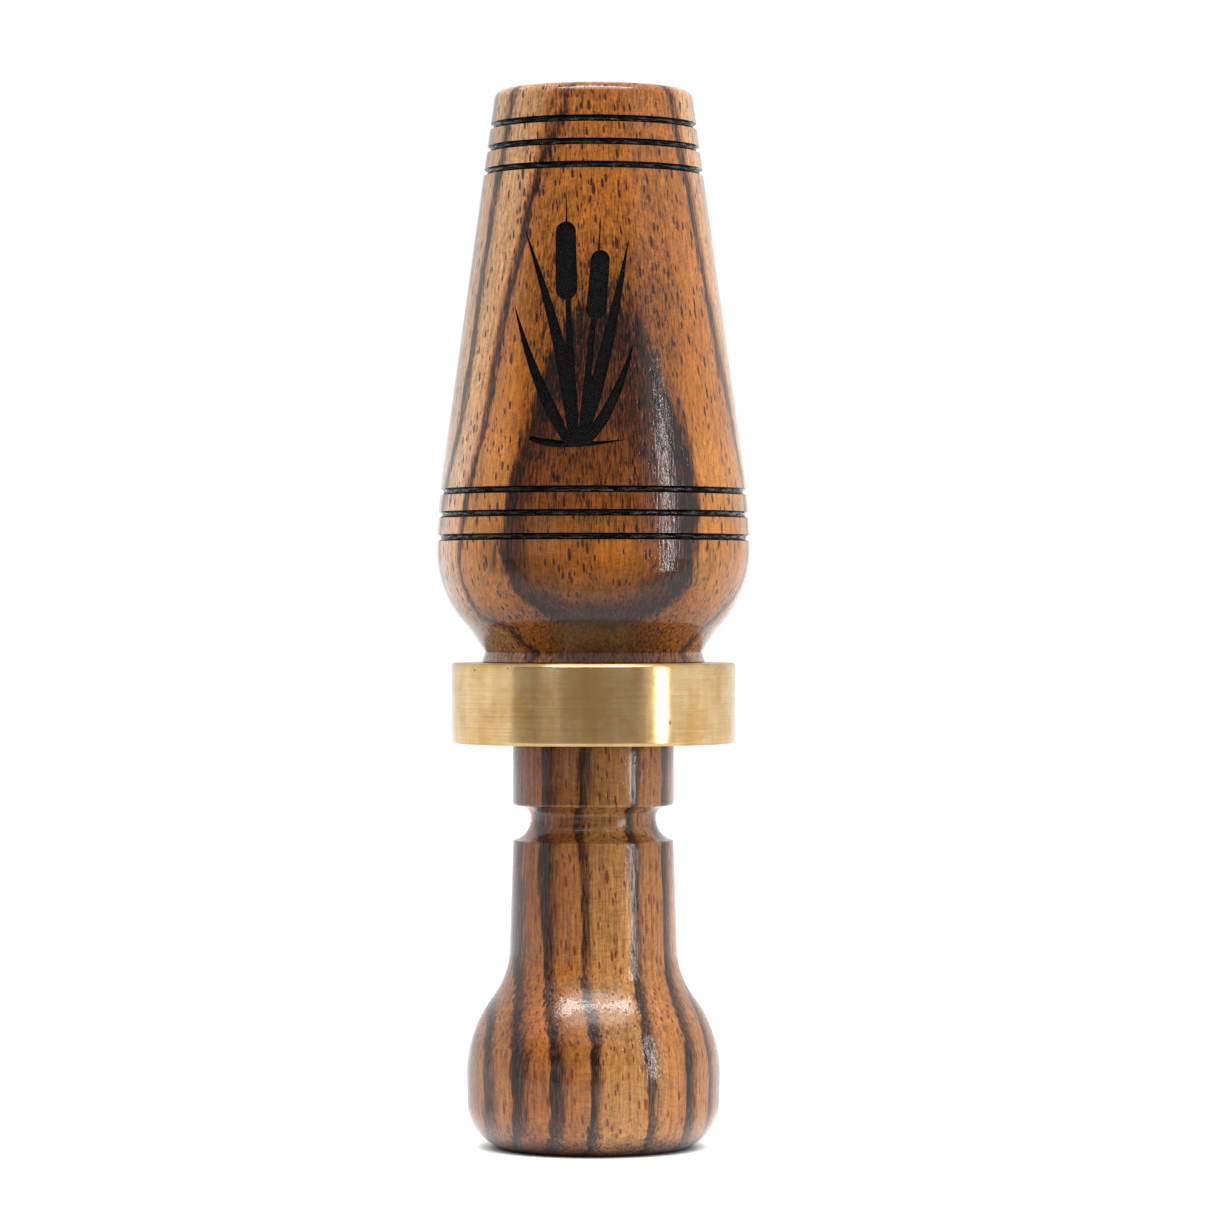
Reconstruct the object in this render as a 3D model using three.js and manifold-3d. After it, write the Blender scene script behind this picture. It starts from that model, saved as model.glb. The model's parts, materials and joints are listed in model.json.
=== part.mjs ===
// A duck call: a turned wooden barrel with a brass band, and a wooden insert that plugs into it and carries
// a moulded tone board, two reeds under a cork wedge, and two O-rings.
// Millimetres, +Z up. The call stands on its exhaust end, with the origin at the centre of that face.
import * as THREE from "three";
import { mergeVertices } from "three/addons/utils/BufferGeometryUtils.js";
import Module from "manifold-3d";

const wasm = await Module();
wasm.setup();

// ---- Driving dimensions ----
const SEGMENTS = 48; // around every turned piece
const CALL_HEIGHT = 124.2;
const BORE_R = 7.94; // 5/8 inch bore through the barrel
const FIT_GAP = 0.05; // between pieces that touch face to face

// Insert, outside
const INSERT_TOP = 47.4; // the collar's top, where the barrel's end sits
const COLLAR_R = 9.5;
const COLLAR_BOTTOM = 40.2;
const COLLAR_CHAMFER = 0.4;
const COLLAR_EDGE = 0.2; // the collar's small upper chamfer
const WAIST_R = 7.4; // the lanyard groove's floor
const WAIST_TOP = 38.9;
const WAIST_COVE_R = 2.55; // the groove's lower side, nearly a hollow quarter round
const WAIST_COVE_Z = 38.6;
const WAIST_COVE_START = 255; // degrees
const WAIST_FLARE_CURVE = [7.4, 39.9]; // control point of the groove's upper side, which opens to the collar
const STEM_TOP = 36.1;
const STEM_EDGE = 0.15; // the stem's upper chamfer
const STEM_TOP_R = 9.45;
const STEM_FOOT_R = 9.87;
const STEM_COVE_R = 9.9; // the hollow where the stem runs out into the bulb
const BULB_R = 14.9; // the widest part of the exhaust end
const BULB_Z = 8.7;
const SHOULDER_R = 14.7; // the bulb's upper rounding
const SHOULDER_DEGREES = 35.5; // the steepest slope between the bulb and the stem, from the vertical
const FOOT_ROUND_R = 5.4; // the bulb's lower rounding, and its centre
const FOOT_ROUND_CENTRE = [9.38, 5.25];
const FOOT_ROUND_END = -3; // degrees below its widest point, where the bulb's flank takes over

// Insert, inside
const SOCKET_R = 5.6; // holds the tone board's stem
const SOCKET_FLOOR = 33.4;
const EXHAUST_R = 4.0;
const EXHAUST_FLARE_Z = 14.0;
const EXHAUST_MOUTH_R = 8.4;
const EXHAUST_CURVE = [4.6, 5.0]; // middle control point of the flare's curve

// Band
const BAND_R = 16.7;
const BAND_HEIGHT = 9.45;
const BAND_ROUND = 0.45;
const TENON_R = 12.0; // the barrel's end, inside the band

// Barrel
const BARREL_BOTTOM = INSERT_TOP + 0.1;
const BAND_TOP = BARREL_BOTTOM + BAND_HEIGHT;
const NECK_SHOULDER_R = 13.1;
const NECK_R = 12.75;
const NECK_Z = 58.2;
const BELLY_R = 18.35;
const BELLY_Z = 69.9;
const BELLY_ARC_R = 12.5;
const BELLY_ARC_END_Z = 60.9;
const CONE_FOOT_Z = 80.0;
const CONE_FOOT_R = 17.63;
const CONE_TOP_R = 11.55; // where the cone would meet the mouth's plane
const LIP_ROUND = 1.3;
const LIP_FLAT_R = 9.3; // inner edge of the flat lip
const MOUTH_FLARE_DEPTH = 4.0;
const MOUTH_CURVE = [8.04, 123.8]; // middle control point of the flare's curve
const BORE_CHAMFER = 0.4; // at the bore's lower end
const CONE_MIDDLE_Z = 97.0;
const GROOVE_WIDTH = 0.78;
const GROOVE_DEPTH = 0.42;
const GROOVE_FLOOR = 0.45; // the floor's share of the width
const GROOVE_PITCH = 2.7;
const TOP_GROOVES_Z = 119.9; // the highest groove of each set of three
const LOWER_GROOVES_Z = 77.0;
const GROOVES_PER_SET = 3;

// Tone board
const SHANK_R = 7.78;
const STEM_R = 5.55;
const STEM_BOTTOM = 33.5;
const SHANK_TOP = 60.0; // the back wall of the wedge notch
const BOARD_TIP = 108.0;
const BOARD_FACE_Y = -1.2; // the reeds' bed
const CLAMP_Z = 71.5; // the wedge's front edge, where the reeds start to flex
const BOARD_SLOPE = Math.tan(THREE.MathUtils.degToRad(1.3));
const BOARD_TIP_DROP = 1.2;
const BOARD_TIP_CHAMFER = 0.6;
const STEM_CHAMFER = 0.4; // at the tone board stem's lower end
const TONE_CHANNEL_R = 3.175; // 1/4 inch
const TONE_CHANNEL_END = 96.0;

// O-rings: 1/2 by 5/8 by 1/16 inch
const O_RING_R = 0.89;
const O_RING_OUTER_R = 7.87;
const O_RING_Z = [51.2, 55.8];
const O_RING_GROOVE_R = 6.0;
const O_RING_GROOVE_WIDTH = 2.1;

// Reeds
const REED_THICKNESS = 0.25;
const REED_HALF_WIDTH = 7.1;
const REED_CLIP = 2.2; // the clipped corners at the tip
const REED_BACK = SHANK_TOP + 0.2;
const LOWER_REED_TIP = 107.2;
const UPPER_REED_TIP = 106.2;
const UPPER_REED_HALF_WIDTH = 6.95;

// Wedge
const WEDGE_HALF_WIDTH = 6.2;
const WEDGE_TOP_R = 7.7;
const WEDGE_SLANT = 2.0;
const WEDGE_FRONT_GAP = 0.1; // between the wedge's front edge and the flexure line

// ---- Colours ----
const BARREL_WOOD = material(0xb5733a, 0.25, 0);
const INSERT_WOOD = material(0xb07442, 0.25, 0);
const BRASS = material(0xc8a360, 0.3, 1);
const ACETAL = material(0xe9e2cf, 0.35, 0);
const FILM = material(0xdfe4e2, 0.2, 0);
const CORK = material(0xb98d5c, 0.9, 0);
const RUBBER = material(0x151515, 0.6, 0);

function material(color, roughness, metalness) {
  return new THREE.MeshStandardMaterial({ color, roughness, metalness });
}

// ---- Outlines in the (radius, height) half plane ----
const point = (r, z) => new THREE.Vector2(r, z);

function arc(centreR, centreZ, radius, fromDegrees, toDegrees, steps) {
  const points = [];
  for (let i = 0; i <= steps; i++) {
    const t = THREE.MathUtils.degToRad(fromDegrees + ((toDegrees - fromDegrees) * i) / steps);
    points.push(point(centreR + radius * Math.cos(t), centreZ + radius * Math.sin(t)));
  }
  return points;
}

// ---- Solids ----
// Turns a closed outline about Z. The outline may touch the axis.
function turned(outline, segments = SEGMENTS) {
  const closed = [...outline, outline[0]];
  if (THREE.ShapeUtils.area(outline) < 0) closed.reverse();
  return new THREE.LatheGeometry(closed, segments).rotateX(Math.PI / 2);
}

// Extrudes an outline of (z, y) points across X, from -halfWidth to halfWidth.
function acrossX(outline, halfWidth) {
  const shape = new THREE.Shape(outline.map(([z, y]) => point(z, y)));
  const geometry = new THREE.ExtrudeGeometry(shape, { depth: 2 * halfWidth, bevelEnabled: false });
  const toFrame = new THREE.Matrix4().set(0, 0, -1, halfWidth, 0, 1, 0, 0, 1, 0, 0, 0, 0, 0, 0, 1);
  return geometry.applyMatrix4(toFrame);
}

function toManifold(geometry) {
  const bare = new THREE.BufferGeometry().setIndex(geometry.index);
  bare.setAttribute("position", geometry.getAttribute("position"));
  const merged = mergeVertices(bare, 1e-4);
  const mesh = new wasm.Mesh({
    numProp: 3,
    vertProperties: new Float32Array(merged.getAttribute("position").array),
    triVerts: new Uint32Array(merged.index.array),
  });
  return new wasm.Manifold(mesh);
}

function fromManifold(solid) {
  const { vertProperties, triVerts } = solid.getMesh();
  const geometry = new THREE.BufferGeometry();
  geometry.setAttribute("position", new THREE.BufferAttribute(new Float32Array(vertProperties), 3));
  geometry.setIndex(new THREE.BufferAttribute(new Uint32Array(triVerts), 1));
  return geometry;
}

function piece(name, geometry, finish) {
  const mesh = new THREE.Mesh(geometry, finish);
  mesh.name = name;
  return mesh;
}

// ---- Barrel ----
const coneSlope = (CONE_FOOT_R - CONE_TOP_R) / (CALL_HEIGHT - CONE_FOOT_Z);
const coneRadius = (z) => CONE_TOP_R + coneSlope * (CALL_HEIGHT - z);

// The barrel's outside between the belly's widest ring and the cone's foot, a shallow arc.
function shoulderRadius(z) {
  const t = (z - BELLY_Z) / (CONE_FOOT_Z - BELLY_Z);
  return BELLY_R - (BELLY_R - CONE_FOOT_R) * t * t;
}

const barrelRadius = (z) => (z > CONE_FOOT_Z ? coneRadius(z) : shoulderRadius(z));

// A turned line: a narrow flat-bottomed groove, listed from its lower edge to its upper edge.
function groove(z) {
  const half = GROOVE_WIDTH / 2;
  const floorHalf = half * GROOVE_FLOOR;
  return [
    point(barrelRadius(z - half), z - half),
    point(barrelRadius(z) - GROOVE_DEPTH, z - floorHalf),
    point(barrelRadius(z) - GROOVE_DEPTH, z + floorHalf),
    point(barrelRadius(z + half), z + half),
  ];
}

function grooveSet(highest) {
  const points = [];
  for (let i = GROOVES_PER_SET - 1; i >= 0; i--) points.push(...groove(highest - i * GROOVE_PITCH));
  return points;
}

function barrel() {
  const bellyArcEnd = THREE.MathUtils.radToDeg(Math.asin((BELLY_ARC_END_Z - BELLY_Z) / BELLY_ARC_R));
  const lipCentreR = coneRadius(CALL_HEIGHT - LIP_ROUND) - LIP_ROUND;
  const mouthFlare = new THREE.QuadraticBezierCurve(
    point(LIP_FLAT_R, CALL_HEIGHT),
    point(...MOUTH_CURVE),
    point(BORE_R, CALL_HEIGHT - MOUTH_FLARE_DEPTH),
  );
  const outline = [
    point(BORE_R + BORE_CHAMFER, BARREL_BOTTOM),
    point(TENON_R, BARREL_BOTTOM),
    point(TENON_R, BAND_TOP + FIT_GAP),
    point(NECK_SHOULDER_R, BAND_TOP + FIT_GAP),
    point(NECK_R, NECK_Z),
    ...arc(BELLY_R - BELLY_ARC_R, BELLY_Z, BELLY_ARC_R, bellyArcEnd, 0, 7),
    ...grooveSet(LOWER_GROOVES_Z),
    point(CONE_FOOT_R, CONE_FOOT_Z),
    point(coneRadius(CONE_MIDDLE_Z), CONE_MIDDLE_Z),
    ...grooveSet(TOP_GROOVES_Z),
    ...arc(lipCentreR, CALL_HEIGHT - LIP_ROUND, LIP_ROUND, 0, 90, 4),
    ...mouthFlare.getPoints(4),
    point(BORE_R, BARREL_BOTTOM + BORE_CHAMFER),
  ];
  return piece("barrel", turned(outline), BARREL_WOOD);
}

// ---- Band ----
function band() {
  const bottom = BARREL_BOTTOM;
  const outline = [
    point(TENON_R + FIT_GAP, bottom),
    ...arc(BAND_R - BAND_ROUND, bottom + BAND_ROUND, BAND_ROUND, -90, 0, 3),
    ...arc(BAND_R - BAND_ROUND, BAND_TOP - BAND_ROUND, BAND_ROUND, 0, 90, 3),
    point(TENON_R + FIT_GAP, BAND_TOP),
  ];
  return piece("band", turned(outline), BRASS);
}

// ---- Insert ----
// The bulb's upper side, from its widest ring up to the stem: a rounding, a short slope and a hollow.
function bulbShoulder() {
  const slope = THREE.MathUtils.degToRad(SHOULDER_DEGREES);
  const rounding = arc(BULB_R - SHOULDER_R, BULB_Z, SHOULDER_R, 0, SHOULDER_DEGREES, 6);
  const top = rounding.at(-1);
  const coveFootR = STEM_FOOT_R + STEM_COVE_R * (1 - Math.cos(slope));
  const coveFootZ = top.y + (top.x - coveFootR) / Math.tan(slope);
  const coveZ = coveFootZ + STEM_COVE_R * Math.sin(slope);
  const hollow = arc(STEM_FOOT_R + STEM_COVE_R, coveZ, STEM_COVE_R, 180 + SHOULDER_DEGREES, 180, 6);
  return [...rounding, ...hollow];
}

function insertBody() {
  const exhaustFlare = new THREE.QuadraticBezierCurve(
    point(EXHAUST_R, EXHAUST_FLARE_Z),
    point(...EXHAUST_CURVE),
    point(EXHAUST_MOUTH_R, 0),
  );
  const footStart = THREE.MathUtils.radToDeg(Math.asin(-FOOT_ROUND_CENTRE[1] / FOOT_ROUND_R));
  const waistFlare = new THREE.QuadraticBezierCurve(
    point(WAIST_R, WAIST_TOP),
    point(...WAIST_FLARE_CURVE),
    point(COLLAR_R - COLLAR_CHAMFER, COLLAR_BOTTOM),
  );
  const outline = [
    ...exhaustFlare.getPoints(6),
    ...arc(...FOOT_ROUND_CENTRE, FOOT_ROUND_R, footStart, FOOT_ROUND_END, 8),
    ...bulbShoulder(),
    point(STEM_TOP_R, STEM_TOP - STEM_EDGE),
    point(STEM_TOP_R - STEM_EDGE, STEM_TOP),
    ...arc(WAIST_R + WAIST_COVE_R, WAIST_COVE_Z, WAIST_COVE_R, WAIST_COVE_START, 180, 6),
    ...waistFlare.getPoints(4),
    point(COLLAR_R, COLLAR_BOTTOM + COLLAR_CHAMFER),
    point(COLLAR_R, INSERT_TOP - COLLAR_EDGE),
    point(COLLAR_R - COLLAR_EDGE, INSERT_TOP),
    point(SOCKET_R, INSERT_TOP),
    point(SOCKET_R, SOCKET_FLOOR),
    point(EXHAUST_R, SOCKET_FLOOR),
  ];
  return piece("insert_body", turned(outline), INSERT_WOOD);
}

// ---- Tone board ----
// Height of the board's face over its bed's plane, at z: flat under the wedge, then falling away to the tip.
function boardFaceY(z) {
  const along = Math.max(0, z - CLAMP_Z);
  const length = BOARD_TIP - CLAMP_Z;
  const bend = (BOARD_TIP_DROP - BOARD_SLOPE * length) / (length * length);
  return BOARD_FACE_Y + BOARD_SLOPE * along + bend * along * along;
}

function toneBoard() {
  const shankBottom = INSERT_TOP + FIT_GAP;
  const half = O_RING_GROOVE_WIDTH / 2;
  const grooves = O_RING_Z.flatMap((z) => [
    point(SHANK_R, z - half),
    point(O_RING_GROOVE_R, z - half),
    point(O_RING_GROOVE_R, z + half),
    point(SHANK_R, z + half),
  ]);
  const blank = turned([
    point(0, STEM_BOTTOM),
    point(STEM_R - STEM_CHAMFER, STEM_BOTTOM),
    point(STEM_R, STEM_BOTTOM + STEM_CHAMFER),
    point(STEM_R, shankBottom),
    point(SHANK_R, shankBottom),
    ...grooves,
    point(SHANK_R, BOARD_TIP - BOARD_TIP_CHAMFER),
    point(SHANK_R - BOARD_TIP_CHAMFER, BOARD_TIP),
    point(0, BOARD_TIP),
  ]);
  const clear = SHANK_R + 3;
  const faceSteps = 10;
  const face = [];
  for (let i = 0; i <= faceSteps; i++) {
    const z = CLAMP_Z + ((BOARD_TIP + 1 - CLAMP_Z) * i) / faceSteps;
    face.push([z, boardFaceY(z)]);
  }
  const aboveFace = acrossX(
    [[SHANK_TOP, -clear], [BOARD_TIP + 1, -clear], ...face.reverse(), [SHANK_TOP, BOARD_FACE_Y]],
    clear,
  );
  const channel = turned(
    [
      point(0, STEM_BOTTOM - 1),
      point(TONE_CHANNEL_R, STEM_BOTTOM - 1),
      ...arc(0, TONE_CHANNEL_END - TONE_CHANNEL_R, TONE_CHANNEL_R, 0, 90, 5),
    ],
    24,
  );
  const solid = toManifold(blank).subtract(toManifold(aboveFace)).subtract(toManifold(channel));
  return piece("tone_board", fromManifold(solid), ACETAL);
}

// ---- Wedge ----
function reedWedge() {
  const bed = BOARD_FACE_Y - 2 * REED_THICKNESS - 3 * FIT_GAP;
  const back = SHANK_TOP + FIT_GAP;
  const front = CLAMP_Z - WEDGE_FRONT_GAP;
  const block = acrossX(
    [[back, bed], [back, -WEDGE_TOP_R - 1], [front - WEDGE_SLANT, -WEDGE_TOP_R - 1], [front, bed]],
    WEDGE_HALF_WIDTH,
  );
  const round = turned([
    point(0, SHANK_TOP - 1),
    point(WEDGE_TOP_R, SHANK_TOP - 1),
    point(WEDGE_TOP_R, CLAMP_Z + 1),
    point(0, CLAMP_Z + 1),
  ]);
  const solid = toManifold(block).intersect(toManifold(round));
  return piece("reed_wedge", fromManifold(solid), CORK);
}

// ---- Reeds ----
// Each reed is one strip of film. Its clamped heel and its free blade are separate solids that meet at the
// line where the strip flexes, so that the blade can turn.
function strip(name, outline, innerY) {
  const shape = new THREE.Shape(outline);
  const geometry = new THREE.ExtrudeGeometry(shape, { depth: REED_THICKNESS, bevelEnabled: false });
  geometry.rotateX(Math.PI / 2).translate(0, innerY, 0);
  return piece(name, geometry, FILM);
}

function reed(name, layer, halfWidth, tip) {
  const innerY = BOARD_FACE_Y - FIT_GAP - layer * (REED_THICKNESS + FIT_GAP);
  const heel = [
    point(-halfWidth, REED_BACK),
    point(halfWidth, REED_BACK),
    point(halfWidth, CLAMP_Z - FIT_GAP),
    point(-halfWidth, CLAMP_Z - FIT_GAP),
  ];
  const blade = [
    point(-halfWidth, CLAMP_Z + FIT_GAP),
    point(halfWidth, CLAMP_Z + FIT_GAP),
    point(halfWidth, tip - REED_CLIP),
    point(halfWidth - REED_CLIP, tip),
    point(REED_CLIP - halfWidth, tip),
    point(-halfWidth, tip - REED_CLIP),
  ];
  return [strip(`${name}_heel`, heel, innerY), strip(`${name}_blade`, blade, innerY)];
}

// ---- O-rings ----
function oRing(name, z) {
  const outline = arc(O_RING_OUTER_R - O_RING_R, z, O_RING_R, 0, 315, 7);
  return piece(name, turned(outline), RUBBER);
}

const call = new THREE.Group();
call.add(
  insertBody(),
  toneBoard(),
  reedWedge(),
  ...reed("lower_reed", 0, REED_HALF_WIDTH, LOWER_REED_TIP),
  ...reed("upper_reed", 1, UPPER_REED_HALF_WIDTH, UPPER_REED_TIP),
  oRing("o_ring_lower", O_RING_Z[0]),
  oRing("o_ring_upper", O_RING_Z[1]),
  barrel(),
  band(),
);

export default call;
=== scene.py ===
"""The looks of a turned wooden duck call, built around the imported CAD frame."""

import json
import math

import bpy
from mathutils import Matrix, Vector, kdtree, noise
from mathutils.geometry import delaunay_2d_cdt
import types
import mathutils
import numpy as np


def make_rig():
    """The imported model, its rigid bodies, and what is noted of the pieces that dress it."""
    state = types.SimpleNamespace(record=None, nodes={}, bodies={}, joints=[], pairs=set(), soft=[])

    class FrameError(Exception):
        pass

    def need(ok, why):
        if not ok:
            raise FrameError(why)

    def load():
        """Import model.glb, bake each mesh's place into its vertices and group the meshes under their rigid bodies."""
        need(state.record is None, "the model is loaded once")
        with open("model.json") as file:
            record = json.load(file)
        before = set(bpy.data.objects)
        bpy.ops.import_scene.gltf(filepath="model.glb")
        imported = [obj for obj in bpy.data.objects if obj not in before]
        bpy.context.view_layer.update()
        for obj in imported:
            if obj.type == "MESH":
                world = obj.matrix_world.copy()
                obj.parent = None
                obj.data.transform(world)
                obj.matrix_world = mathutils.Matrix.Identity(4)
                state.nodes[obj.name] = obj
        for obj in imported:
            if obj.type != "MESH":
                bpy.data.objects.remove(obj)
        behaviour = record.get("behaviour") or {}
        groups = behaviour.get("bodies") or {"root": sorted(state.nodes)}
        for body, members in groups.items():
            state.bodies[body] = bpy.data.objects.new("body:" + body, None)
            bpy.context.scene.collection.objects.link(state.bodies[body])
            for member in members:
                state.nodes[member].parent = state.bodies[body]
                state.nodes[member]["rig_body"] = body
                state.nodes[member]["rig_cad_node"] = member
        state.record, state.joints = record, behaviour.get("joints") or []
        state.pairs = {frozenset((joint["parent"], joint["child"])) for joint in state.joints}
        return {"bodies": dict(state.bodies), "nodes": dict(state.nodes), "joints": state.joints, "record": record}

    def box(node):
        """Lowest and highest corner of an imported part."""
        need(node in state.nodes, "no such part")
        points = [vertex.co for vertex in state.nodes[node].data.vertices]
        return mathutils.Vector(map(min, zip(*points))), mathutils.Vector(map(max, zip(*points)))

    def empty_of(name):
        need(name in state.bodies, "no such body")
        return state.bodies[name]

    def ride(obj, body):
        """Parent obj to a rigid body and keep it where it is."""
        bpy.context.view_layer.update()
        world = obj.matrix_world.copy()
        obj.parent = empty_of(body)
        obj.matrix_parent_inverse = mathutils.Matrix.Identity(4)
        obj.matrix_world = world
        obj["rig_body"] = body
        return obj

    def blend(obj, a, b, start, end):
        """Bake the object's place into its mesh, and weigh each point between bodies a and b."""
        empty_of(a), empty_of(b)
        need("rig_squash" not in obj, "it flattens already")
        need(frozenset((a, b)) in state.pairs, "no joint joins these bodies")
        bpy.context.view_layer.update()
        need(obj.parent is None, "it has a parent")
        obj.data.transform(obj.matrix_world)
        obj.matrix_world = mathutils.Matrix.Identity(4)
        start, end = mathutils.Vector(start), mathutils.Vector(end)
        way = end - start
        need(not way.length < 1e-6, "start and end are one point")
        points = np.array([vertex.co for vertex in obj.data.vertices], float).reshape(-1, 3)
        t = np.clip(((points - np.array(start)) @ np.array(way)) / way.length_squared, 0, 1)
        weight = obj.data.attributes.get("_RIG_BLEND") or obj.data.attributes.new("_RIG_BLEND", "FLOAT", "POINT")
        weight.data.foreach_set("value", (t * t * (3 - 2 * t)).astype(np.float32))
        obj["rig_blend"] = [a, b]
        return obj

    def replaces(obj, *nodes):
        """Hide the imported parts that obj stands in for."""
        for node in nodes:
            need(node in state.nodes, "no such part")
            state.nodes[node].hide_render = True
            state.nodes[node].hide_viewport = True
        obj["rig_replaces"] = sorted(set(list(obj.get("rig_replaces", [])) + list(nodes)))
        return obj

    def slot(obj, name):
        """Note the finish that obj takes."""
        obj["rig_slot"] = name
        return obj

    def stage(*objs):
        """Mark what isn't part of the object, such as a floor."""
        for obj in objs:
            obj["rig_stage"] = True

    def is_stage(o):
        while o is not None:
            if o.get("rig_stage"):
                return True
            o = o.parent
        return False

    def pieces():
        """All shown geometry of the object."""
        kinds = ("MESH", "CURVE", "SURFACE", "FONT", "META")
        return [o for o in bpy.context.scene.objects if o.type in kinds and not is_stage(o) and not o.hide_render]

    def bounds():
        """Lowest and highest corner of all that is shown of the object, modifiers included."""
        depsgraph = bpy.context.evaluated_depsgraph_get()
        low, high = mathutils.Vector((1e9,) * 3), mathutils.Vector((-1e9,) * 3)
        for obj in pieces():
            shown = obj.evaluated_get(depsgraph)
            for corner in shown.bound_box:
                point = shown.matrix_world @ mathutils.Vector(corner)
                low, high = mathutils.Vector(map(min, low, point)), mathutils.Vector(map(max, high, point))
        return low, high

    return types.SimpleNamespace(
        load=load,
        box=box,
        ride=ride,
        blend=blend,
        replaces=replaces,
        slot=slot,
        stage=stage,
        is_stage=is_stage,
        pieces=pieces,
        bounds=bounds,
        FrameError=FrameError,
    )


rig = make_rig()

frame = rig.load()
cad_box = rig.bounds()

# ---- Sizes, in millimetres. The CAD nodes' boxes give the main ones. ----
MM = 0.001


def box_mm(node):
    """A CAD node's lowest and highest corners, in millimetres."""
    low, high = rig.box(node)
    return low / MM, high / MM


barrel_low, barrel_high = box_mm("barrel")
band_low, band_high = box_mm("band")
_, insert_high = box_mm("insert_body")
board_low, board_high = box_mm("tone_board")
wedge_low, wedge_high = box_mm("reed_wedge")

CALL_HEIGHT = barrel_high.z
BARREL_BOTTOM = barrel_low.z
BELLY_R = barrel_high.x
BORE_R = 7.94
TENON_R = 12.0
TENON_TOP = band_high.z + 0.05
NECK_SHOULDER_R = 13.1
NECK_R = 12.75
NECK_Z = 58.2
BELLY_Z = 69.9
BELLY_ARC_R = 12.5
BELLY_ARC_DEGREES = -46.05
CONE_FOOT_Z = 80.0
CONE_FOOT_R = 17.63
CONE_TOP_R = 11.55
LIP_ROUND = 1.3
LIP_FLAT_R = 9.3
MOUTH_CURVE = (8.04, 123.8)
MOUTH_FLARE_DEPTH = 4.0
GROOVE_WIDTH = 0.78
GROOVE_DEPTH = 0.42
GROOVE_PITCH = 2.7
GROOVE_SETS = (119.9, 77.0)
GROOVES = [top - i * GROOVE_PITCH for top in GROOVE_SETS for i in range(3)]

BAND_R = band_high.x
BAND_ROUND = 0.45

INSERT_TOP = insert_high.z
COLLAR_R = 9.5
COLLAR_BOTTOM = 40.2
WAIST_R = 7.4
WAIST_TOP = 38.9
WAIST_COVE = (9.95, 38.6, 2.55)
WAIST_COVE_START = 255
WAIST_FLARE_CURVE = (7.4, 39.9)
STEM_TOP = 36.1
STEM_TOP_R = 9.45
STEM_FOOT_R = 9.87
STEM_COVE_R = 9.9
BULB_R = insert_high.x
BULB_Z = 8.7
SHOULDER_R = 14.7
SHOULDER_DEGREES = 35.5
FOOT_ROUND = (9.38, 5.25, 5.4)
FOOT_ROUND_END = -3
SOCKET_R = 5.6
SOCKET_FLOOR = 33.4
EXHAUST_R = 4.0
EXHAUST_FLARE_Z = 14.0
EXHAUST_CURVE = (4.6, 5.0)
EXHAUST_MOUTH_R = 8.4

SHANK_R = board_high.x
BOARD_STEM_R = 5.55
BOARD_FACE_Y = -1.2
BOARD_TIP = board_high.z
BOARD_TIP_DROP = 1.2
BOARD_SLOPE = math.tan(math.radians(1.3))
SHANK_TOP = 60.0
CLAMP_Z = 71.5
TONE_CHANNEL_R = 3.175
TONE_CHANNEL_END = 96.0
O_RING_R = 0.89
O_RING_OUTER_R = 7.87
O_RING_GROOVE_R = 6.0
O_RING_GROOVE_HALF = 1.05
REED_CLIP = 2.2
WEDGE_TOP_R = 7.7
WEDGE_SLANT = 2.0


# ---- Outlines in the (radius, height) half plane ----
def arc(centre_r, centre_z, radius, start, end, steps):
    """Points on an arc, from start to end in degrees."""
    turns = [math.radians(start + (end - start) * i / steps) for i in range(steps + 1)]
    return [(centre_r + radius * math.cos(t), centre_z + radius * math.sin(t)) for t in turns]


def bezier(points, steps):
    """Points on the quadratic Bezier curve through these control points."""
    (ax, ay), (bx, by), (cx, cy) = points
    found = []
    for i in range(steps + 1):
        t = i / steps
        a, b, c = (1 - t) ** 2, 2 * t * (1 - t), t * t
        found.append((a * ax + b * bx + c * cx, a * ay + b * by + c * cy))
    return found


def spaced(outline, step):
    """A closed outline with points added, so that none of its stretches is longer than step."""
    found = []
    for (ax, ay), (bx, by) in zip(outline, outline[1:] + outline[:1]):
        count = max(1, math.ceil(math.hypot(bx - ax, by - ay) / step))
        found += [(ax + (bx - ax) * i / count, ay + (by - ay) * i / count) for i in range(count)]
    return found


def rounded(outline, radius, steps=3):
    """A closed outline whose sharp corners are rounded, with at most this radius."""
    found = []
    count = len(outline)
    for i, corner in enumerate(outline):
        here = Vector(corner)
        back = Vector(outline[i - 1]) - here
        on = Vector(outline[(i + 1) % count]) - here
        turn = math.pi - back.angle(on)
        if turn < math.radians(25):
            found.append(corner)
            continue
        reach = min(radius * math.tan(turn / 2), back.length * 0.45, on.length * 0.45)
        start, end = here + back.normalized() * reach, here + on.normalized() * reach
        found += bezier((tuple(start), corner, tuple(end)), steps)
    return found


# ---- Meshes ----
def new_object(name, data):
    made = bpy.data.objects.new(name, data)
    bpy.context.scene.collection.objects.link(made)
    return made


def new_mesh(name, vertices, faces, scale=MM):
    """A mesh from points and faces. scale is the mesh's size of one unit of the points."""
    mesh = bpy.data.meshes.new(name)
    mesh.from_pydata([tuple(c * scale for c in v) for v in vertices], [], faces)
    mesh.validate()
    return mesh


def smooth(mesh, degrees=32):
    mesh.shade_smooth()
    mesh.set_sharp_from_angle(angle=math.radians(degrees))


def facing_out(vertices, faces):
    """The faces of a closed body, all turned over if its volume comes out negative."""
    volume = 0.0
    for face in faces:
        a = Vector(vertices[face[0]])
        for j in range(1, len(face) - 1):
            volume += a.dot(Vector(vertices[face[j]]).cross(Vector(vertices[face[j + 1]])))
    return faces if volume > 0 else [tuple(reversed(f)) for f in faces]


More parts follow.
